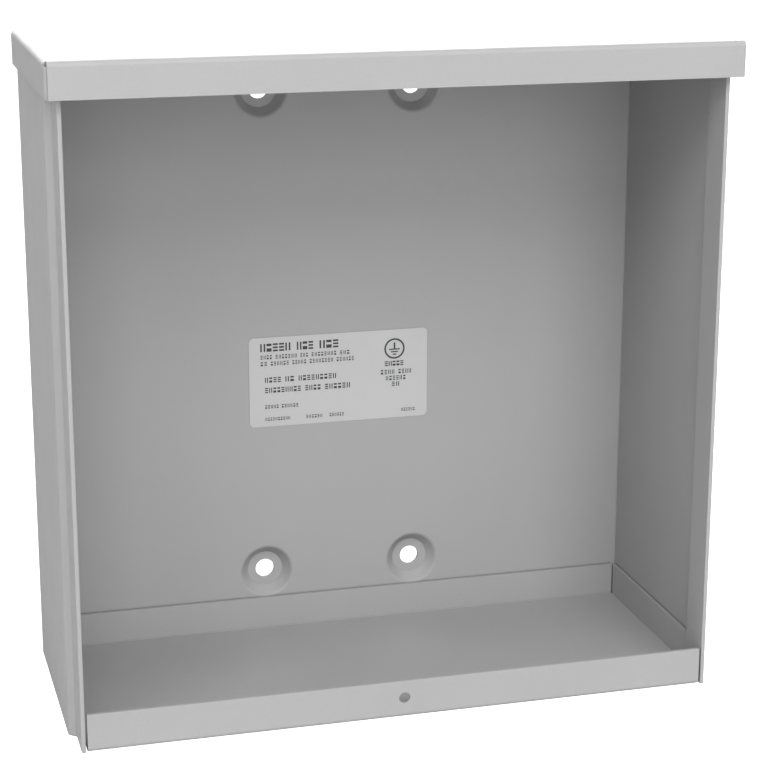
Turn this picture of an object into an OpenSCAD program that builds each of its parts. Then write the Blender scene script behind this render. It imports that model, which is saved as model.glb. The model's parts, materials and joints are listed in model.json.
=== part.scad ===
// Rain-tight junction and pull box body in folded sheet steel, with its slip cover off.
// Millimetres. The front is -Y, up is +Z. The origin is the centre of the four
// wall holes, on the wall plane that the rear faces of the dimples rest on.

/* [Box] */
// Width across the two side panels
body_w = 254; // [200:1:400]
// Height of the back and side panels
body_h = 254; // [230:1:400]
// Depth from the back panel's rear face to the side panels' front edges
body_d = 103.2; // [90:0.1:160]
// Sheet thickness, 16 gauge
sheet_t = 1.52; // [1.2:0.01:2]
// Inside radius of every ordinary bend
bend_r = 0.4; // [0.3:0.1:1]
// Paint and fit-up gap between two sheets that are spot welded together
weld_gap = 0.1; // [0.05:0.01:0.2]

/* [Cover channel] */
// How far each side panel steps in, so that the cover's flange lies flush over it
jog_in = 2.85; // [2.5:0.05:4]
// Angle of the step
jog_angle = 50; // [45:1:60]
// Where the step begins, from the back panel's rear face
jog_start = 84.9; // [70:0.1:85]

/* [Rain hood] */
// How far the hood's front stands out past the side panels' front edges
hood_overhang = 5.5; // [5:0.1:9]
// Height of the hood's flanges, measured outside
hood_flange_h = 13.2; // [11:0.1:20]
// Width of the front flange, cut just short of the rounded corners
hood_front_w = 254.8; // [254.4:0.1:255.2]
// Inside radius of the side flange where it turns round the front corner
ear_bend_r = 1.1; // [0.9:0.1:1.3]
// Length of the side flange tucked behind the front flange
ear_l = 9; // [5:0.5:15]

/* [Bottom pan] */
// Height of the pan's side and back flanges and of its front lip, measured outside
pan_flange_h = 15; // [12:0.1:20]
// Height of the pan's underside above the side panels' bottom edges
pan_raise = 0; // [0:0.05:2]
// Gap between each end of the front lip and the side panel
lip_end_gap = 0.78; // [0.5:0.01:1.5]
// How far each side flange reaches past the start of the cover channel's step
pan_flange_reach = 0.3; // [-3:0.1:0.3]
// Length of the cut across each side flange's front top corner
corner_cut_l = 3; // [0.5:0.1:6]
// Drop of that cut
corner_cut_h = 1.4; // [0.5:0.1:4]
// Radius of the relief holes at the pan's back corners
relief_r = 0.6; // [0.5:0.1:1]

/* [Cover screw hole] */
// Hole for a number 10 thread-forming cover screw
screw_hole_d = 4.37; // [3:0.01:6]
// Height of the hole above the pan's underside
screw_hole_z = 8.05; // [6:0.05:9]

/* [Wall holes] */
// Spacing of the wall holes across the box
hole_pitch_x = 63.5; // [50:0.1:120]
// Spacing of the wall holes up the box
hole_pitch_z = 203.2; // [150:0.1:204]
// Diameter of each wall hole
hole_d = 7.94; // [6:0.01:9]
// How far each dimple is pressed out behind the back panel
dimple_depth = 3.97; // [3:0.01:5]
// Diameter across the top of the dimple's rim
dimple_d = 23.4; // [22.4:0.1:26]
// Slope of the dimple's wall
dimple_angle = 50; // [45:5:55]

/* [Rating label] */
// Label width
label_w = 76.2; // [40:0.1:120]
// Label height
label_h = 38.1; // [20:0.1:80]
// Label thickness
label_t = 0.15; // [0.1:0.05:0.4]
// Corner radius of the label
label_r = 2; // [1:0.1:4]
// Height of the label's centre above the side panels' bottom edges
label_z = 108.8; // [60:0.1:160]

/* [Hidden] */
$fn = 96;
bend_out_r = bend_r + sheet_t;
overall_h = body_h + weld_gap + sheet_t;
z_bottom = -overall_h / 2;
z_top = overall_h / 2;
y_rear = -dimple_depth;
y_front = y_rear - body_d;
flange_half_w = body_w / 2 - jog_in;
// Straight sheet between the two bends of a step, and the step's length along the sheet
function step_flat(rise, angle) = (rise - (2 * bend_r + sheet_t) * (1 - cos(angle))) / sin(angle);
function step_run(rise, angle) = (2 * bend_r + sheet_t) * sin(angle) + step_flat(rise, angle) * cos(angle);
jog_run = step_run(jog_in, jog_angle);
dimple_run = step_run(dimple_depth, dimple_angle);
hood_half_w = body_w / 2 + weld_gap + sheet_t;
hood_front_y = y_front - hood_overhang;
hood_flange_z = z_top - hood_flange_h;
ear_front_y = hood_front_y + sheet_t + weld_gap;
ear_bend_y = ear_front_y + ear_bend_r + sheet_t;
pan_half_w = body_w / 2 - sheet_t - weld_gap;
pan_rear_y = y_rear - sheet_t - weld_gap;
pan_z = z_bottom + pan_raise;
pan_flange_front = y_rear - jog_start - pan_flange_reach;
lip_half_w = flange_half_w - sheet_t - lip_end_gap;
paint = [0.74, 0.74, 0.74];

// One bend of the sheet about the origin: a ring sector from angle a0, turning by sweep
module bend_sector(a0, sweep, r = bend_r) {
    far = 2 * (r + sheet_t);
    intersection() {
        difference() {
            circle(r + sheet_t);
            circle(r);
        }
        polygon([[0, 0], for (i = [0:2]) far * [cos(a0 + sweep * i / 2), sin(a0 + sweep * i / 2)]]);
    }
}

// Section through folded sheet. Each step is [flat length, turn after it], and a turn
// to the left is positive. The sheet lies on the left of the line it follows.
module folded(steps, r = bend_r, i = 0) {
    run = steps[i][0];
    turn = steps[i][1];
    pivot = turn > 0 ? sheet_t + r : -r;
    square([run, sheet_t]);
    if (turn != 0) {
        translate([run, pivot]) {
            bend_sector(turn > 0 ? -90 : 90, turn, r);
            rotate(turn) translate([0, -pivot]) folded(steps, r, i + 1);
        }
    }
}

// Extrudes a section drawn in X and Z from y0 forward to y1
module along_y(y0, y1) {
    translate([0, y0, 0]) rotate([90, 0, 0]) linear_extrude(y0 - y1) children();
}

// Extrudes a section drawn in Y and Z to a width centred on X = 0
module along_x(width) {
    rotate([90, 0, 90]) linear_extrude(width, center = true) children();
}

module both_sides() {
    children();
    mirror([1, 0, 0]) children();
}

module wall_hole_places() {
    for (x = [-1, 1], z = [-1, 1])
        translate([x * hole_pitch_x / 2, y_rear, z * hole_pitch_z / 2]) rotate([-90, 0, 0]) children();
}

// Pressed dimple with a wall hole in its floor, drawn about the hole's axis
module dimple() {
    rim = 1.5;
    floor_w = dimple_d / 2 - dimple_run - hole_d / 2;
    rotate_extrude() translate([dimple_d / 2 + rim, 0]) rotate(180)
        folded([
            [rim, -dimple_angle],
            [step_flat(dimple_depth, dimple_angle), dimple_angle],
            [floor_w, 0]
        ]);
}

// Back and both sides, one folded sheet with a step for the cover near each front edge
module wrapper() {
    flange = [body_d - jog_start - jog_run, 0];
    slope = step_flat(jog_in, jog_angle);
    side = jog_start - bend_out_r;
    color(paint) {
        difference() {
            translate([sheet_t - flange_half_w, y_front, z_bottom])
                linear_extrude(body_h) rotate(90)
                    folded([
                        [flange[0], jog_angle],
                        [slope, -jog_angle],
                        [side, -90],
                        [body_w - 2 * bend_out_r, -90],
                        [side, -jog_angle],
                        [slope, jog_angle],
                        flange
                    ]);
            wall_hole_places() cylinder(d = dimple_d + 1, h = 4 * sheet_t, center = true);
        }
        wall_hole_places() dimple();
    }
}

// Top plate with its flanges turned down. Each side flange also turns round the front
// corner into an ear behind the front flange, and the back flange hangs behind the box.
module rain_hood() {
    drop = hood_flange_h - bend_out_r;
    back_face_y = y_rear + weld_gap + sheet_t;
    color(paint) {
        along_y(y_rear, ear_bend_y)
            translate([sheet_t - hood_half_w, hood_flange_z]) rotate(90)
                folded([[drop, -90], [2 * (hood_half_w - bend_out_r), -90], [drop, 0]]);
        along_x(2 * (hood_half_w - bend_out_r))
            translate([hood_front_y + sheet_t, hood_flange_z]) rotate(90)
                folded([[drop, -90], [back_face_y - hood_front_y - 2 * bend_out_r, -90], [drop, 0]]);
        along_x(hood_front_w)
            translate([hood_front_y + sheet_t, hood_flange_z]) rotate(90)
                folded([[drop, -90], [ear_bend_y - hood_front_y - bend_out_r, 0]]);
        both_sides()
            translate([-hood_half_w, ear_bend_y + ear_l, hood_flange_z])
                linear_extrude(drop) rotate(-90)
                    folded([[ear_l, 90], [ear_l, 0]], r = ear_bend_r);
    }
}

// Floor of the box, with side and back flanges turned up inside the wrapper and a front
// lip turned up between the side panels, drilled for the cover screw
module bottom_pan() {
    rise = pan_flange_h - bend_out_r;
    flange_top = pan_z + pan_flange_h;
    back_w = 2 * (pan_half_w - sheet_t - 0.25);
    side_rear_y = pan_rear_y - sheet_t - 0.25;
    relief = [back_w / 2, side_rear_y];
    color(paint) difference() {
        union() {
            along_y(side_rear_y, pan_flange_front)
                translate([-pan_half_w, flange_top]) rotate(-90)
                    folded([[rise, 90], [2 * (pan_half_w - bend_out_r), 90], [rise, 0]]);
            along_x(2 * lip_half_w)
                translate([y_front, flange_top]) rotate(-90)
                    folded([[rise, 90], [pan_rear_y - y_front - 2 * bend_out_r, 90], [rise, 0]]);
            along_x(back_w)
                translate([pan_rear_y - 2 * bend_out_r, pan_z])
                    folded([[bend_out_r, 90], [rise, 0]]);
        }
        both_sides()
            translate([relief[0], relief[1], pan_z - 1]) cylinder(r = relief_r, h = bend_out_r + 1);
        both_sides()
            translate([pan_half_w, pan_flange_front, flange_top])
                rotate([90, 0, -90])
                    linear_extrude(2 * sheet_t, center = true)
                        polygon([
                            [-1, 1],
                            [-1, -corner_cut_h],
                            [0, -corner_cut_h],
                            [corner_cut_l, 0],
                            [corner_cut_l, 1]
                        ]);
        translate([0, y_front + sheet_t / 2, pan_z + screw_hole_z])
            rotate([90, 0, 0]) cylinder(d = screw_hole_d, h = 4 * sheet_t, center = true);
    }
}

// Stuck to the back panel between the wall holes
module rating_label() {
    inner_w = label_w - 2 * label_r;
    inner_h = label_h - 2 * label_r;
    color([0.86, 0.86, 0.86])
        translate([0, y_rear - sheet_t, z_bottom + label_z]) rotate([90, 0, 0])
            linear_extrude(label_t) {
                square([label_w, inner_h], center = true);
                square([inner_w, label_h], center = true);
                for (x = [-0.5, 0.5], y = [-0.5, 0.5])
                    translate([x * inner_w, y * inner_h]) circle(label_r);
            }
}

wrapper();
rain_hood();
bottom_pan();
rating_label();
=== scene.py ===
"""Looks of a gray sheet-steel junction box body with its cover off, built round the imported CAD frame.

Each of the three steel sheets is drawn as its middle surface in quads, then given the sheet's thickness
and softened edges. The label and its print are thin flat slabs. Lengths are in metres unless a comment
says otherwise, and angles are in degrees. Front is -Y, up is +Z.
"""

import json
import math

import bmesh
import bpy
from mathutils import Matrix, Vector


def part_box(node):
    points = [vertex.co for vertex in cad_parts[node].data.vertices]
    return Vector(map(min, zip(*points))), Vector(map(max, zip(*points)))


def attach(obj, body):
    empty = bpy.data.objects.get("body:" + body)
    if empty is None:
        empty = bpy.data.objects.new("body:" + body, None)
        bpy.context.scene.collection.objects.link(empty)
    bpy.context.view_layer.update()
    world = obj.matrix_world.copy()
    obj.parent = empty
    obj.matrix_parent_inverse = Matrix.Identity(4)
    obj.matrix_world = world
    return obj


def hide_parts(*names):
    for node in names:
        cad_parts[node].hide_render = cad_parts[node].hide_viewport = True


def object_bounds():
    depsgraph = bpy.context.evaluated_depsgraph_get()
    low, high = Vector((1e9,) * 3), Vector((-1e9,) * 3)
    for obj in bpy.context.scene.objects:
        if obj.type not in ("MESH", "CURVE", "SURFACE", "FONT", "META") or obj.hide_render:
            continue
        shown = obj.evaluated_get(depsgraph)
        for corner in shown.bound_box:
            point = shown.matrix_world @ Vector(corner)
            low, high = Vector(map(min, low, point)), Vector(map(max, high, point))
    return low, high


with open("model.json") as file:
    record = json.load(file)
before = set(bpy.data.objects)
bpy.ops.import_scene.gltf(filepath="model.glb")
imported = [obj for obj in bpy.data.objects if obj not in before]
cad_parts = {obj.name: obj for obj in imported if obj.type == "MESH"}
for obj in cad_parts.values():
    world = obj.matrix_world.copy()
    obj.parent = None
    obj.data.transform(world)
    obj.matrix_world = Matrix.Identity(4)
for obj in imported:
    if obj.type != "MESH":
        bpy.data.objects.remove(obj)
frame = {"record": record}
cad_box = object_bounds()

MM = 0.001

# Sheet metal
SHEET_T = 1.52 * MM
BEND_R = 0.4 * MM
EAR_BEND_R = 1.1 * MM
MID_R = BEND_R + SHEET_T / 2
EAR_MID_R = EAR_BEND_R + SHEET_T / 2
OUT_R = BEND_R + SHEET_T
ARC_STEP = 9.0
EDGE_RADIUS = 0.22 * MM
EDGE_SEGMENTS = 3
# Places closer than this are the same place
MERGE_GAP = 2e-6

# Cover channel: the step near each side panel's front edge
JOG_IN = 2.85 * MM
JOG_ANGLE = 50.0
JOG_START = 84.9 * MM

# Wall hole dimples
DIMPLE_R = 11.7 * MM
DIMPLE_ANGLE = 50.0
DIMPLE_RIM = 1.5 * MM
# Half the side of the square of the back panel that is drawn round a dimple
DIMPLE_PATCH = 16 * MM

# Rain hood
HOOD_FRONT_HALF_W = 127.4 * MM
EAR_L = 9 * MM
WELD_GAP = 0.1 * MM

# Bottom pan
PAN_FLANGE_REACH = 0.3 * MM
LIP_END_GAP = 0.78 * MM
CORNER_GAP = 0.25 * MM
CORNER_CUT_L = 3 * MM
CORNER_CUT_H = 1.4 * MM
# Half the side of the square of the lip that is drawn round the screw hole, and a ring inside it
SCREW_PATCH = 4.2 * MM
SCREW_RING = 0.66 * SCREW_PATCH

# Rating label
LABEL_CORNER_R = 2 * MM
INK_T = 0.02 * MM
# Rows of stand-in print: place of the first mark from the label's left and top edges, height of
# the marks, share of each mark that is inked, and the length of each run, in millimetres
PRINT_ROWS = (
    (4.8, 2.6, 3.4, 0.80, (13.2, 7.4, 8.6)),
    (4.9, 7.5, 1.7, 0.62, (5.2, 9.4, 3.6, 11.0, 4.6)),
    (4.9, 10.3, 1.7, 0.62, (3.2, 8.0, 6.2, 10.4, 7.8)),
    (6.6, 17.0, 2.2, 0.72, (7.2, 4.2, 16.4)),
    (6.6, 21.4, 2.2, 0.72, (15.6, 7.0, 11.2)),
    (6.6, 28.8, 1.5, 0.66, (6.0, 7.4)),
    (6.6, 34.2, 1.4, 0.66, (10.8,)),
    (24.0, 34.2, 1.4, 0.66, (7.2,)),
    (34.0, 34.2, 1.4, 0.66, (6.4,)),
    (65.0, 34.2, 1.4, 0.66, (6.2,)),
    (57.8, 13.5, 2.1, 0.80, (8.4,)),
    (56.1, 17.2, 1.9, 0.66, (6.4, 6.0)),
    (58.3, 19.9, 1.9, 0.66, (9.0,)),
    (60.9, 22.5, 1.9, 0.66, (3.8,)),
)
# Gap between runs and width of a mark's cell, as shares of the marks' height
PRINT_GAP = 0.65
PRINT_CELL = 0.8
# Inked parts of a mark in its own cell, as left, bottom, right and top shares
MARKS = (
    ((0.0, 0.0, 0.32, 1.0), (0.68, 0.0, 1.0, 1.0)),
    ((0.0, 0.0, 1.0, 0.22), (0.0, 0.39, 1.0, 0.61), (0.0, 0.78, 1.0, 1.0)),
    ((0.0, 0.0, 1.0, 0.42), (0.0, 0.7, 1.0, 1.0)),
)
# Earth symbol in a ring, in millimetres: its centre from the label's left and top edges, the ring's
# radius and line width, the stem's length, and the half width and place below the centre of each bar
EARTH_AT = (62.0, 8.2)
EARTH_R = 4.4
EARTH_LINE = 0.7
EARTH_STEM = 2.6
EARTH_BARS = ((2.3, 0.0), (1.55, 1.1), (0.8, 2.2))
EARTH_BAR_H = 0.525

# Camera, from the front left and a little above
CAMERA_AT = Vector((-206.62, -829.49, 212.65)) * MM
CAMERA_YAW = 15.228
CAMERA_PITCH = -15.395
CAMERA_ROLL = 0.055
CAMERA_LENS = 99.57
CAMERA_SENSOR = 36.0

# Colors, as linear light
PAINT = (0.31, 0.31, 0.31)
FILM = (0.43, 0.43, 0.43)
INK = (0.012, 0.012, 0.013)
FLOOR = (0.8, 0.8, 0.8, 1)
WHITE = (1, 1, 1, 1)

# Finish, and painted shade in the seams
# Noise stays between these values for the most part
NOISE_RANGE = (0.3, 0.7)
# How far the softened normal agrees with the true one on an open face and on a full edge
EDGE_RANGE = (0.995, 0.8)
# Openness that counts as a closed seam and as an open face, and how dark the painted shade in a closed
# seam gets
PAINTED_SHADE_RANGE = (0.35, 0.95)
PAINTED_SHADE_TONE = 0.45

# Floor
FLOOR_HALF = 20.0
FLOOR_DROP = 0.1 * MM

# Lights: place, width and height, and watts
SOFTBOXES = {
    "front": ((0.0, -3.0, 0.7), (2.5, 1.5), 44.0),
    "front_high": ((0.0, -2.5, 2.5), (2.0, 2.0), 67.0),
    "front_left_high": ((-1.8, -2.0, 2.0), (1.5, 1.5), 34.0),
    "front_right_high": ((1.8, -2.0, 2.0), (1.5, 1.5), 18.0),
    "over": ((0.0, -0.6, 3.0), (1.0, 1.0), 27.0),
    "left": ((-3.0, -0.3, 0.05), (1.6, 1.6), 45.0),
    "back_right": ((1.45, 3.0, 0.6), (2.4, 1.2), 22.0),
}
# Panel behind the box, seen only as a mirror image in the hood's top and bends
GLARE_PANEL = ((0.42, 3.0, 1.7), (3.85, 2.8), 297.0)

wrapper_lo, wrapper_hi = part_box("wrapper")
hood_lo, hood_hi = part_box("rain_hood")
pan_lo, pan_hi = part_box("bottom_pan")
label_lo, label_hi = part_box("rating_label")
mounts = {m["name"]: m for m in frame["record"]["mounts"]}

# The label is stuck to the inner face of the back panel
rear_y = label_hi.y + SHEET_T
front_y = wrapper_lo.y


# ---------------------------------------------------------------- sheet geometry


def polar(radius, angle):
    return radius * math.cos(math.radians(angle)), radius * math.sin(math.radians(angle))


def walk(start, heading, steps, radius=MID_R):
    """Points along the middle of a folded sheet. Each step is a flat length and the turn after it."""
    x, y = start
    points = [(x, y)]
    for length, turn in steps:
        dx, dy = polar(length, heading)
        x, y = x + dx, y + dy
        if length:
            points.append((x, y))
        if not turn:
            continue
        side = math.copysign(1, turn)
        ox, oy = polar(radius, heading + 90 * side)
        pivot = (x + ox, y + oy)
        count = max(2, round(abs(turn) / ARC_STEP))
        for k in range(1, count + 1):
            px, py = polar(radius, heading - 90 * side + turn * k / count)
            points.append((pivot[0] + px, pivot[1] + py))
        heading += turn
        x, y = points[-1]
    return points


def step_flat(rise, angle):
    """Flat length between the two bends of a step that moves the sheet sideways by rise."""
    a = math.radians(angle)
    return (rise - 2 * MID_R * (1 - math.cos(a))) / math.sin(a)


def step_run(rise, angle):
    """Length of that step along the sheet."""
    a = math.radians(angle)
    return 2 * MID_R * math.sin(a) + step_flat(rise, angle) * math.cos(a)


def ray_ticks(centre, half, rays=16):
    """Places along one side of a square patch where evenly turned rays from its centre meet it."""
    return [centre + half * math.tan(math.radians(90 * k / rays - 45)) for k in range(rays + 1)]


def spread(*groups):
    """All the given numbers in order, without repeats."""
    ordered = sorted(v for group in groups for v in group)
    kept = ordered[:1]
    for value in ordered[1:]:
        if value - kept[-1] > MERGE_GAP:
            kept.append(value)
    return kept


def evenly(lo, hi, count):
    """Places that cut the stretch from lo to hi into count equal cells."""
    return [lo + (hi - lo) * k / count for k in range(count + 1)]


def grid_quads(rows, skip=None):
    """Quads between neighbouring rows of points, except those whose centre skip() rejects."""
    quads = []
    for a, b in zip(rows, rows[1:]):
        for i in range(len(a) - 1):
            quad = [a[i], a[i + 1], b[i + 1], b[i]]
            if skip is None or not skip(sum(quad, Vector()) / 4):
                quads.append(quad)
    return quads


def patch_quads(centre, half, rings, rays=16):
    """A square patch with a round centre, in the XZ plane. Each ring is a (radius, y) pair."""
    count = 4 * rays
    outline = []
    for k in range(count):
        angle = math.radians(360 * k / count - 45)
        reach = half / max(abs(math.cos(angle)), abs(math.sin(angle)))
        outline.append((math.cos(angle), math.sin(angle), reach))
    rows = [[Vector((centre.x + c * r, centre.y, centre.z + s * r)) for c, s, r in outline]]
    for radius, y in rings:
        rows.append([Vector((centre.x + c * radius, y, centre.z + s * radius)) for c, s, _ in outline])
    return grid_quads([row + row[:1] for row in rows])


def sheet_piece(name, quads, thickness=SHEET_T, edge=EDGE_RADIUS):
    """Joins the quads into one sheet, gives it thickness and rounds off its cut edges."""
    made = bmesh.new()
    for corners in quads:
        made.faces.new([made.verts.new(p) for p in corners])
    bmesh.ops.remove_doubles(made, verts=made.verts, dist=MERGE_GAP)
    bmesh.ops.recalc_face_normals(made, faces=made.faces)
    mesh = bpy.data.meshes.new(name)
    made.to_mesh(mesh)
    made.free()
    piece = bpy.data.objects.new(name, mesh)
    bpy.context.scene.collection.objects.link(piece)
    solid = piece.modifiers.new("thickness", "SOLIDIFY")
    solid.thickness = thickness
    solid.offset = 0
    solid.use_even_offset = True
    finish_edges(piece, edge)
    return piece


def finish_edges(piece, width, angle=40):
    """Rounds edges sharper than the angle and shades the piece smoothly."""
    bevel = piece.modifiers.new("edges", "BEVEL")
    bevel.width = width
    bevel.segments = EDGE_SEGMENTS
    bevel.limit_method = "ANGLE"
    bevel.angle_limit = math.radians(angle)
    normals = piece.modifiers.new("normals", "WEIGHTED_NORMAL")
    normals.weight = 50
    normals.keep_sharp = False
    for face in piece.data.polygons:
        face.use_smooth = True


def mirrored(quads):
    """The quads on the other side of the box."""
    return [[Vector((-p.x, p.y, p.z)) for p in quad] for quad in quads]


# ---------------------------------------------------------------- pieces


def wall_hole_centres():
    """Centres of the four wall holes, in the middle surface of the back panel."""
    dims = mounts["wall_holes"]["dims"]
    half_x = dims["spacing_x_mm"] * MM / 2
    half_z = dims["spacing_y_mm"] * MM / 2
    mid_y = rear_y - SHEET_T / 2
    return [Vector((x, mid_y, z)) for x in (-half_x, half_x) for z in (-half_z, half_z)]


def dimple_rings(mid_y):
    """Rings from the flat round the dimple, down its slope and across its floor to the hole."""
    depth = wrapper_hi.y - rear_y
    hole_r = mounts["wall_holes"]["dims"]["hole_r_mm"] * MM
    floor_w = DIMPLE_R - step_run(depth, DIMPLE_ANGLE) - hole_r
    steps = [
        (DIMPLE_RIM, -DIMPLE_ANGLE),
        (step_flat(depth, DIMPLE_ANGLE), DIMPLE_ANGLE),
        (floor_w, 0),
    ]
    return walk((DIMPLE_R + DIMPLE_RIM, mid_y), 180, steps)


def side_section():
    """Section through the left side panel, from its front edge to the bend at the back corner."""
    half_w = wrapper_hi.x
    start = (SHEET_T / 2 - half_w + JOG_IN, front_y)
    flange = rear_y - JOG_START - step_run(JOG_IN, JOG_ANGLE) - front_y
    side = JOG_START - OUT_R
    steps = [(flange, JOG_ANGLE), (step_flat(JOG_IN, JOG_ANGLE), -JOG_ANGLE), (side, -90)]
    return walk(start, 90, steps)


def wrapper_shell():
    """Back and both sides in one sheet, with a step near each front edge and four dimples."""
    left = side_section()
    right = [(-x, y) for x, y in reversed(left)]
    holes = wall_hole_centres()
    mid_y = holes[0].y
    back_half = wrapper_hi.x - OUT_R
    # The even columns and heights pass between the dimples' patches
    even_columns = evenly(-back_half, back_half, 4)
    even_heights = evenly(wrapper_lo.z, wrapper_hi.z, 5)
    columns = spread(*[ray_ticks(h.x, DIMPLE_PATCH) for h in holes], even_columns)
    heights = spread(*[ray_ticks(h.z, DIMPLE_PATCH) for h in holes], even_heights)
    section = left + [(x, mid_y) for x in columns[1:-1]] + right

    def in_patch(p):
        on_back = abs(p.y - mid_y) < MERGE_GAP
        return on_back and any(
            max(abs(p.x - h.x), abs(p.z - h.z)) < DIMPLE_PATCH for h in holes
        )

    quads = grid_quads([[Vector((x, y, z)) for x, y in section] for z in heights], in_patch)
    for hole in holes:
        quads += patch_quads(hole, DIMPLE_PATCH, dimple_rings(mid_y))
    return sheet_piece("wrapper_shell", quads)


def rain_hood_shell():
    """Top plate with turned-down flanges, and side flanges that turn round the front corners."""
    half_w = hood_hi.x
    top_z = hood_hi.z - SHEET_T / 2
    flange_z = hood_lo.z
    drop = hood_hi.z - OUT_R - flange_z
    bend_x = half_w - OUT_R
    front_bend_y = hood_lo.y + OUT_R
    ear_y = hood_lo.y + SHEET_T + WELD_GAP + EAR_BEND_R + SHEET_T
    back_bend_y = hood_hi.y - OUT_R
    rows_y = evenly(ear_y, back_bend_y, 6)
    columns = evenly(-bend_x, bend_x, 8)
    wide = [-HOOD_FRONT_HALF_W] + columns + [HOOD_FRONT_HALF_W]
    quads = grid_quads([[Vector((x, y, top_z)) for x in columns] for y in rows_y])
    quads += grid_quads([[Vector((x, y, top_z)) for x in wide] for y in (front_bend_y, ear_y)])

    down = [(0, -90), (drop, 0)]
    front = walk((-front_bend_y, top_z), 0, down)
    quads += grid_quads([[Vector((x, -u, z)) for u, z in front] for x in wide])
    back = walk((back_bend_y, top_z), 0, down)
    quads += grid_quads([[Vector((x, u, z)) for u, z in back] for x in columns])

    side = walk((bend_x, top_z), 0, down)
    strip = grid_quads([[Vector((u, y, z)) for u, z in side] for y in rows_y])
    tail = side[-2:]
    strip += grid_quads([[Vector((u, y, z)) for u, z in tail] for y in (back_bend_y, rear_y)])
    ear = walk((side[-1][0], ear_y), -90, [(0, -90), (EAR_L, 0)], EAR_MID_R)
    strip += grid_quads([[Vector((x, y, z)) for x, y in ear] for _, z in tail])
    return sheet_piece("rain_hood_shell", quads + strip + mirrored(strip))


def drilled_lip(columns, floor_z, screw, up):
    """Front lip turned up from the pan's floor, with the hole for the cover screw."""
    lip = walk((-pan_lo.y - OUT_R, floor_z), 0, up)
    mid_u, top_z = lip[-1]
    lip = lip[:-1] + [(mid_u, z) for z in spread(ray_ticks(screw.z, SCREW_PATCH), [top_z])]

    def in_patch(p):
        return max(abs(p.x - screw.x), abs(p.z - screw.z)) < SCREW_PATCH

    quads = grid_quads([[Vector((x, -u, z)) for u, z in lip] for x in columns], in_patch)
    screw_r = mounts["cover_screw_hole"]["dims"]["r_mm"] * MM
    return quads + patch_quads(screw, SCREW_PATCH, [(SCREW_RING, screw.y), (screw_r, screw.y)])


def pan_side_flange(floor_z, side_rows, up):
    """Right side flange, with its top front corner cut back and its back end just short of the corner."""
    side = walk((pan_hi.x - OUT_R, floor_z), 0, up)
    mid_x, top_z = side[-1]
    cut = side[:-1] + [(mid_x, top_z - CORNER_CUT_H)]
    sections = [cut] + [side] * (len(side_rows) - 1)
    quads = grid_quads(
        [[Vector((x, y, z)) for x, z in section] for section, y in zip(sections, side_rows)]
    )
    end_rows = (pan_hi.y - OUT_R, pan_hi.y - SHEET_T - CORNER_GAP)
    return quads + grid_quads([[Vector((x, y, z)) for x, z in side[-2:]] for y in end_rows])


def pan_back_flange(columns, floor_z, up):
    """Back flange, whose ends reach past the floor's bends to just short of the corners."""
    back = walk((pan_hi.y - OUT_R, floor_z), 0, up)
    quads = grid_quads([[Vector((x, y, z)) for y, z in back] for x in columns])
    reach = pan_hi.x - SHEET_T - CORNER_GAP
    for pair in ((columns[-1], reach), (-reach, columns[0])):
        quads += grid_quads([[Vector((x, y, z)) for y, z in back[-2:]] for x in pair])
    return quads


def bottom_pan_shell():
    """Floor with side and back flanges turned up inside the wrapper and a drilled front lip."""
    floor_z = pan_lo.z + SHEET_T / 2
    up = [(0, 90), (pan_hi.z - pan_lo.z - OUT_R, 0)]
    bend_x = pan_hi.x - OUT_R
    lip_half = wrapper_hi.x - JOG_IN - SHEET_T - LIP_END_GAP
    front_bend_y = pan_lo.y + OUT_R
    back_bend_y = pan_hi.y - OUT_R
    side_front_y = rear_y - JOG_START - PAN_FLANGE_REACH
    screw = Vector(mounts["cover_screw_hole"]["pos_m"])
    screw.y = pan_lo.y + SHEET_T / 2

    lip_columns = spread(ray_ticks(screw.x, SCREW_PATCH), evenly(-lip_half, lip_half, 6))
    columns = [-bend_x] + lip_columns + [bend_x]
    front_rows = [front_bend_y, side_front_y]
    cut_end_y = side_front_y + CORNER_CUT_L
    side_rows = [side_front_y, cut_end_y] + evenly(side_front_y, back_bend_y, 5)[1:]
    quads = grid_quads([[Vector((x, y, floor_z)) for x in lip_columns] for y in front_rows])
    quads += grid_quads([[Vector((x, y, floor_z)) for x in columns] for y in side_rows])
    quads += drilled_lip(lip_columns, floor_z, screw, up)
    quads += pan_back_flange(columns, floor_z, up)
    side = pan_side_flange(floor_z, side_rows, up)
    return sheet_piece("bottom_pan_shell", quads + side + mirrored(side))


def rounded_outline(half_w, half_h, radius, steps=8):
    """Corner-rounded rectangle about the origin, counter-clockwise."""
    outline = []
    for quarter, (sx, sy) in enumerate([(1, 1), (-1, 1), (-1, -1), (1, -1)]):
        for k in range(steps + 1):
            dx, dy = polar(radius, 90 * (quarter + k / steps))
            outline.append((sx * (half_w - radius) + dx, sy * (half_h - radius) + dy))
    return outline


def slab(mesh, outline, near_y, far_y):
    """Adds a closed flat slab with the given (x, z) outline between two places along Y."""
    near = [mesh.verts.new((x, near_y, z)) for x, z in outline]
    far = [mesh.verts.new((x, far_y, z)) for x, z in outline]
    mesh.faces.new(near)
    mesh.faces.new(list(reversed(far)))
    for i in range(len(outline)):
        j = (i + 1) % len(outline)
        mesh.faces.new([near[i], far[i], far[j], near[j]])


def ring_slab(mesh, centre, inner, outer, near_y, far_y, steps=72):
    """Adds a closed flat ring about an (x, z) centre."""
    x, z = centre
    section = [(inner, near_y), (outer, near_y), (outer, far_y), (inner, far_y)]
    turns = []
    for k in range(steps):
        places = [(*polar(radius, 360 * k / steps), y) for radius, y in section]
        turns.append([mesh.verts.new((x + dx, y, z + dz)) for dx, dz, y in places])
    for a, b in zip(turns, turns[1:] + turns[:1]):
        for i in range(4):
            j = (i + 1) % 4
            mesh.faces.new([a[i], a[j], b[j], b[i]])


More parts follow.
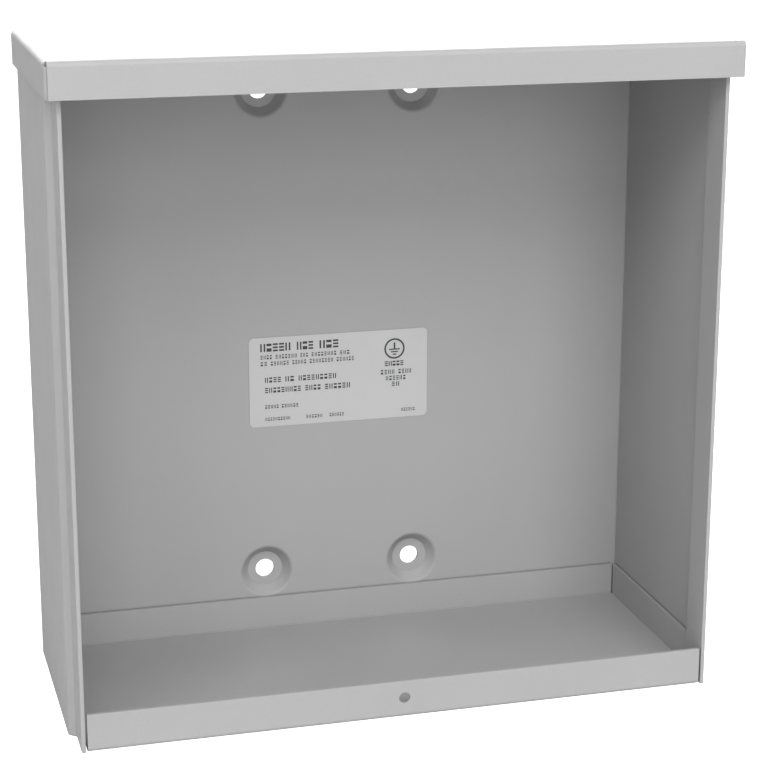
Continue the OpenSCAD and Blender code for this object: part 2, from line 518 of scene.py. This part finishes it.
def slab_piece(name, outlines, near_y, far_y, rings=()):
    """One piece of closed flat slabs, from (x, z) outlines and (centre, inner, outer) rings."""
    made = bmesh.new()
    for outline in outlines:
        slab(made, outline, near_y, far_y)
    for centre, inner, outer in rings:
        ring_slab(made, centre, inner, outer, near_y, far_y)
    bmesh.ops.recalc_face_normals(made, faces=made.faces)
    mesh = bpy.data.meshes.new(name)
    made.to_mesh(mesh)
    made.free()
    piece = bpy.data.objects.new(name, mesh)
    bpy.context.scene.collection.objects.link(piece)
    return piece


def rating_label_film():
    """The label's film, a thin rounded slab stuck to the back panel."""
    centre = (label_lo + label_hi) / 2
    size = label_hi - label_lo
    outline = [
        (centre.x + x, centre.z + z)
        for x, z in rounded_outline(size.x / 2, size.z / 2, LABEL_CORNER_R)
    ]
    return slab_piece("rating_label_film", [outline], label_lo.y, label_hi.y)


def label_place(left, top):
    """Where a place measured in millimetres from the label's left and top edges lies in X and Z."""
    return label_lo.x + left * MM, label_hi.z - top * MM


def bar(left, top, width, height):
    """Outline of an upright bar, from its place and size on the label in millimetres."""
    x, z = label_place(left, top)
    return [(x, z - height * MM), (x + width * MM, z - height * MM), (x + width * MM, z), (x, z)]


def print_row(row, left, top, height, inked, runs):
    """Runs of small plain marks that stand in for a line of print."""
    bars = []
    for run in runs:
        count = max(2, round(run / (PRINT_CELL * height)))
        cell = run / count
        for k in range(count):
            for x0, z0, x1, z1 in MARKS[(2 * k + row + k // 3) % len(MARKS)]:
                x = left + cell * (k + inked * x0)
                z = top + height * (1 - z1)
                bars.append(bar(x, z, cell * inked * (x1 - x0), height * (z1 - z0)))
        left += run + PRINT_GAP * height
    return bars


def earth_symbol():
    """Upright stem over three bars that shorten downwards."""
    x, top = EARTH_AT
    stem = bar(x - EARTH_LINE / 2, top - EARTH_STEM, EARTH_LINE, EARTH_STEM)
    return [stem] + [bar(x - half, top + drop, 2 * half, EARTH_BAR_H) for half, drop in EARTH_BARS]


def rating_label_print():
    """Dark stand-in print on the film: rows of plain marks and an earth symbol in a ring."""
    bars = earth_symbol()
    for row, (left, top, height, inked, runs) in enumerate(PRINT_ROWS):
        bars += print_row(row, left, top, height, inked, runs)
    ring = (label_place(*EARTH_AT), (EARTH_R - EARTH_LINE) * MM, EARTH_R * MM)
    return slab_piece("rating_label_print", bars, label_lo.y - INK_T, label_lo.y, [ring])


# ---------------------------------------------------------------- materials


def new_material(name):
    material = bpy.data.materials.new(name)
    material.use_nodes = True
    nodes = material.node_tree.nodes
    links = material.node_tree.links
    return material, nodes, links, nodes["Principled BSDF"]


def noise(nodes, links, place, size, detail=2.0, roughness=0.5):
    """Noise whose features are about size across. Its value runs from 0 to 1 about 0.5."""
    node = nodes.new("ShaderNodeTexNoise")
    node.inputs["Scale"].default_value = 1 / size
    node.inputs["Detail"].default_value = detail
    node.inputs["Roughness"].default_value = roughness
    links.new(place, node.inputs["Vector"])
    return node.outputs["Fac"]


def ramp(nodes, links, value, low, high, to_low, to_high):
    """Maps value from low..high to to_low..to_high, held at both ends."""
    node = nodes.new("ShaderNodeMapRange")
    node.inputs["From Min"].default_value = low
    node.inputs["From Max"].default_value = high
    node.inputs["To Min"].default_value = to_low
    node.inputs["To Max"].default_value = to_high
    links.new(value, node.inputs["Value"])
    return node.outputs["Result"]


def mottled(nodes, links, place, size, low, high, detail=2.0):
    """A value that wanders between low and high over distances of about size."""
    return ramp(nodes, links, noise(nodes, links, place, size, detail), *NOISE_RANGE, low, high)


def maths(nodes, links, operation, a, b):
    """The result of a two-value operation on sockets or plain numbers."""
    node = nodes.new("ShaderNodeMath")
    node.operation = operation
    for socket, value in zip(node.inputs, (a, b)):
        if isinstance(value, float):
            socket.default_value = value
        else:
            links.new(value, socket)
    return node.outputs["Value"]


def product(nodes, links, *factors):
    result = factors[0]
    for factor in factors[1:]:
        result = maths(nodes, links, "MULTIPLY", result, factor)
    return result


def scaled_color(nodes, links, color, factor):
    """The color with every channel multiplied by factor."""
    node = nodes.new("ShaderNodeVectorMath")
    node.operation = "SCALE"
    node.inputs[0].default_value = color
    links.new(factor, node.inputs["Scale"])
    return node.outputs["Vector"]


def bumped(nodes, links, height, distance, strength, normal=None):
    """Normal of a surface raised by height times the distance, on top of another bump if given."""
    node = nodes.new("ShaderNodeBump")
    node.inputs["Distance"].default_value = distance
    node.inputs["Strength"].default_value = strength
    links.new(height, node.inputs["Height"])
    if normal is not None:
        links.new(normal, node.inputs["Normal"])
    return node.outputs["Normal"]


def edge_mask(nodes, links, radius):
    """About 0 on open faces and up to 1 where the surface turns within the radius."""
    soft = nodes.new("ShaderNodeBevel")
    soft.samples = 4
    soft.inputs["Radius"].default_value = radius
    geometry = nodes.new("ShaderNodeNewGeometry")
    dot = nodes.new("ShaderNodeVectorMath")
    dot.operation = "DOT_PRODUCT"
    links.new(soft.outputs["Normal"], dot.inputs[0])
    links.new(geometry.outputs["Normal"], dot.inputs[1])
    return ramp(nodes, links, dot.outputs["Value"], *EDGE_RANGE, 0.0, 1.0)


def painted_shade_in_seams(nodes, links, reach):
    """Painted shade: 1 on open faces, falling to about a half in the seams and inner corners within the
    reach.
    """
    nearby = nodes.new("ShaderNodeAmbientOcclusion")
    nearby.samples = 8
    nearby.inputs["Distance"].default_value = reach
    return ramp(nodes, links, nearby.outputs["AO"], *PAINTED_SHADE_RANGE, PAINTED_SHADE_TONE, 1.0)


def object_place(nodes):
    return nodes.new("ShaderNodeTexCoord").outputs["Object"]


def powder_coat():
    """Satin gray powder coat: orange-peel skin, faint drifts in tone, rubbed edges, and painted shade
    darkening the seams and inner corners.
    """
    material, nodes, links, shader = new_material("powder_coat")
    place = object_place(nodes)
    drift = mottled(nodes, links, place, 60 * MM, 0.985, 1.015, 3)
    fleck = mottled(nodes, links, place, 0.5 * MM, 0.985, 1.015, 1)
    breaks = ramp(nodes, links, noise(nodes, links, place, 3 * MM, 4, 0.7), 0.42, 0.62, 0.0, 1.0)
    worn = product(nodes, links, edge_mask(nodes, links, 0.35 * MM), breaks)
    wear = ramp(nodes, links, worn, 0.0, 1.0, 1.0, 1.1)
    # The last factor paints shade into the seams and inner corners
    tone = product(nodes, links, drift, fleck, wear, painted_shade_in_seams(nodes, links, 0.9 * MM))
    links.new(scaled_color(nodes, links, PAINT, tone), shader.inputs["Base Color"])

    patches = mottled(nodes, links, place, 25 * MM, 0.6, 0.68, 3)
    rubbed = product(nodes, links, worn, 0.12)
    roughness = maths(nodes, links, "SUBTRACT", patches, rubbed)
    links.new(roughness, shader.inputs["Roughness"])
    shader.inputs["Specular IOR Level"].default_value = 0.4

    peel = bumped(nodes, links, noise(nodes, links, place, 1.6 * MM, 1), 0.05 * MM, 0.35)
    grain = noise(nodes, links, place, 0.35 * MM, 2)
    links.new(bumped(nodes, links, grain, 0.02 * MM, 0.2, peel), shader.inputs["Normal"])
    return material


def label_film():
    """Matt silver-white label film with a faint waviness from the adhesive under it."""
    material, nodes, links, shader = new_material("label_film")
    place = object_place(nodes)
    drift = mottled(nodes, links, place, 15 * MM, 0.985, 1.015, 3)
    fibre = mottled(nodes, links, place, 0.3 * MM, 0.98, 1.02)
    # The film's colour is drawn darker within 0.4 mm of its edges
    darker_edges = ramp(nodes, links, edge_mask(nodes, links, 0.4 * MM), 0.0, 1.0, 1.0, 0.9)
    tone = product(nodes, links, drift, fibre, darker_edges)
    links.new(scaled_color(nodes, links, FILM, tone), shader.inputs["Base Color"])
    roughness = mottled(nodes, links, place, 4 * MM, 0.42, 0.5, 3)
    links.new(roughness, shader.inputs["Roughness"])
    waves = noise(nodes, links, place, 7 * MM, 2)
    links.new(bumped(nodes, links, waves, 0.06 * MM, 0.25), shader.inputs["Normal"])
    return material


def label_ink():
    """Slightly uneven black print."""
    material, nodes, links, shader = new_material("label_ink")
    place = object_place(nodes)
    cover = mottled(nodes, links, place, 0.4 * MM, 0.8, 1.4)
    links.new(scaled_color(nodes, links, INK, cover), shader.inputs["Base Color"])
    shader.inputs["Roughness"].default_value = 0.5
    grain = noise(nodes, links, place, 0.2 * MM)
    links.new(bumped(nodes, links, grain, 0.01 * MM, 0.3), shader.inputs["Normal"])
    return material


def pale_floor():
    """White studio floor. Light of its own, which only the camera sees, keeps it free of shadow."""
    material, nodes, links, shader = new_material("pale_floor")
    shader.inputs["Base Color"].default_value = FLOOR
    shader.inputs["Roughness"].default_value = 0.9
    shader.inputs["Specular IOR Level"].default_value = 0.0
    shader.inputs["Emission Color"].default_value = WHITE
    path = nodes.new("ShaderNodeLightPath")
    links.new(path.outputs["Is Camera Ray"], shader.inputs["Emission Strength"])
    return material


# ---------------------------------------------------------------- scene


def add_floor():
    """One large square just under the box."""
    level = wrapper_lo.z - FLOOR_DROP
    made = bmesh.new()
    corners = [(-1, -1), (1, -1), (1, 1), (-1, 1)]
    made.faces.new([made.verts.new((x * FLOOR_HALF, y * FLOOR_HALF, level)) for x, y in corners])
    mesh = bpy.data.meshes.new("floor")
    made.to_mesh(mesh)
    made.free()
    floor = bpy.data.objects.new("floor", mesh)
    bpy.context.scene.collection.objects.link(floor)
    floor.data.materials.append(pale_floor())


def add_world():
    """White backdrop for what the camera sees and what the paint mirrors, black for the rest."""
    world = bpy.data.worlds.new("studio")
    bpy.context.scene.world = world
    world.use_nodes = True
    nodes = world.node_tree.nodes
    links = world.node_tree.links
    background = nodes["Background"]
    background.inputs["Color"].default_value = WHITE
    path = nodes.new("ShaderNodeLightPath")
    seen = maths(
        nodes, links, "MAXIMUM", path.outputs["Is Camera Ray"], path.outputs["Is Glossy Ray"]
    )
    links.new(seen, background.inputs["Strength"])


def add_softbox(name, place, size, watts):
    """An area light turned to the middle of the box and hidden from the camera."""
    aim = (cad_box[0] + cad_box[1]) / 2
    light = bpy.data.lights.new(name, "AREA")
    light.shape = "RECTANGLE"
    light.size, light.size_y = size
    light.energy = watts
    lamp = bpy.data.objects.new(name, light)
    lamp.location = place
    lamp.rotation_euler = (aim - Vector(place)).to_track_quat("-Z", "Y").to_euler()
    lamp.visible_camera = False
    bpy.context.scene.collection.objects.link(lamp)
    return lamp


def add_lights():
    for name, (place, size, watts) in SOFTBOXES.items():
        add_softbox(name, place, size, watts)
    add_softbox("glare_panel", *GLARE_PANEL).visible_diffuse = False


def add_camera():
    data = bpy.data.cameras.new("camera")
    data.lens = CAMERA_LENS
    data.sensor_width = CAMERA_SENSOR
    camera = bpy.data.objects.new("camera", data)
    turn = Matrix.Rotation(math.radians(-CAMERA_YAW), 4, "Z")
    tilt = Matrix.Rotation(math.radians(90 + CAMERA_PITCH), 4, "X")
    roll = Matrix.Rotation(math.radians(CAMERA_ROLL), 4, "Z")
    camera.matrix_world = Matrix.Translation(CAMERA_AT) @ turn @ tilt @ roll
    bpy.context.scene.collection.objects.link(camera)
    bpy.context.scene.camera = camera


def dress(piece, material, node=None):
    """Gives a piece its material and ties it to the frame, in place of a CAD node if one is named."""
    piece.data.materials.append(material)
    if node is not None:
        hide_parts(node)
    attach(piece, "root")


coat = powder_coat()
dress(wrapper_shell(), coat, "wrapper")
dress(rain_hood_shell(), coat, "rain_hood")
dress(bottom_pan_shell(), coat, "bottom_pan")
dress(rating_label_film(), label_film(), "rating_label")
dress(rating_label_print(), label_ink())

add_floor()
add_world()
add_lights()
add_camera()
bpy.context.scene.view_settings.view_transform = "Standard"
